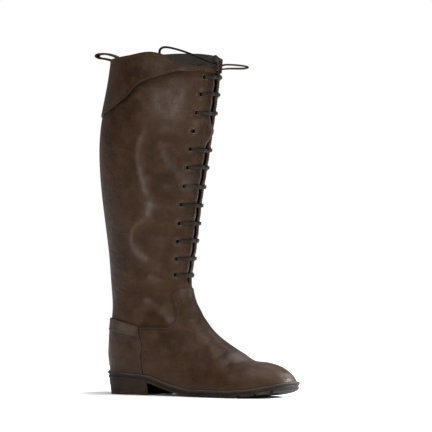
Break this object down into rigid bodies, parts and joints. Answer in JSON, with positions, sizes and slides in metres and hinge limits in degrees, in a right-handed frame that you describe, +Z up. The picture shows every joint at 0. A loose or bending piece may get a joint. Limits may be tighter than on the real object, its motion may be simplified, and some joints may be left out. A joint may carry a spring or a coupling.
{
  "type": "laced riding boot",
  "caption": "Knee-high brown leather boot for the right foot, laced up the front, with a low block heel, lugged rubber sole, heel counter, collar cuff and pull loop.",
  "frame": {"origin": "on the floor under the middle of the heel", "axes": "+X from heel to toe, +Y to the inner side of the foot, +Z up the shaft"},
  "size_m": [0.3037, 0.1148, 0.4432],
  "materials": {
    "brown_leather": "worn waxed brown leather",
    "dark_leather": "darker brown leather",
    "strap_leather": "greyed brown leather",
    "lace_leather": "flat dark leather lace",
    "welt_leather": "stitched welt leather",
    "insole_leather": "plain insole board",
    "sole_rubber": "matt dark brown rubber",
    "antique_brass": "antique darkened brass"
  },
  "bodies": {
    "root": {"outsole": "sole_rubber", "heel": "sole_rubber", "welt": "welt_leather", "insole": "insole_leather", "upper": "brown_leather", "vamp": "brown_leather", "counter": "brown_leather", "counter_strap": "strap_leather", "tongue": "dark_leather", "cuff": "dark_leather", "back_stay": "dark_leather", "pull_loop": "dark_leather", "eyelet_outer_01": "antique_brass", "eyelet_outer_02": "antique_brass", "eyelet_outer_03": "antique_brass", "eyelet_outer_04": "antique_brass", "eyelet_outer_05": "antique_brass", "eyelet_outer_06": "antique_brass", "eyelet_outer_07": "antique_brass", "eyelet_outer_08": "antique_brass", "eyelet_outer_09": "antique_brass", "eyelet_outer_10": "antique_brass", "eyelet_outer_11": "antique_brass", "eyelet_outer_12": "antique_brass", "eyelet_inner_01": "antique_brass", "eyelet_inner_02": "antique_brass", "eyelet_inner_03": "antique_brass", "eyelet_inner_04": "antique_brass", "eyelet_inner_05": "antique_brass", "eyelet_inner_06": "antique_brass", "eyelet_inner_07": "antique_brass", "eyelet_inner_08": "antique_brass", "eyelet_inner_09": "antique_brass", "eyelet_inner_10": "antique_brass", "eyelet_inner_11": "antique_brass", "eyelet_inner_12": "antique_brass", "lace_bar_01": "lace_leather", "lace_bar_02": "lace_leather", "lace_bar_03": "lace_leather", "lace_bar_05": "lace_leather", "lace_bar_06": "lace_leather", "lace_bar_07": "lace_leather", "lace_bar_08": "lace_leather", "lace_bar_09": "lace_leather", "lace_bar_10": "lace_leather", "lace_bar_11": "lace_leather", "lace_bar_12": "lace_leather", "lace_knot": "lace_leather", "lace_loop_rear": "lace_leather", "lace_loop_side": "lace_leather", "lace_loop_top": "lace_leather"}
  },
  "joints": []
}
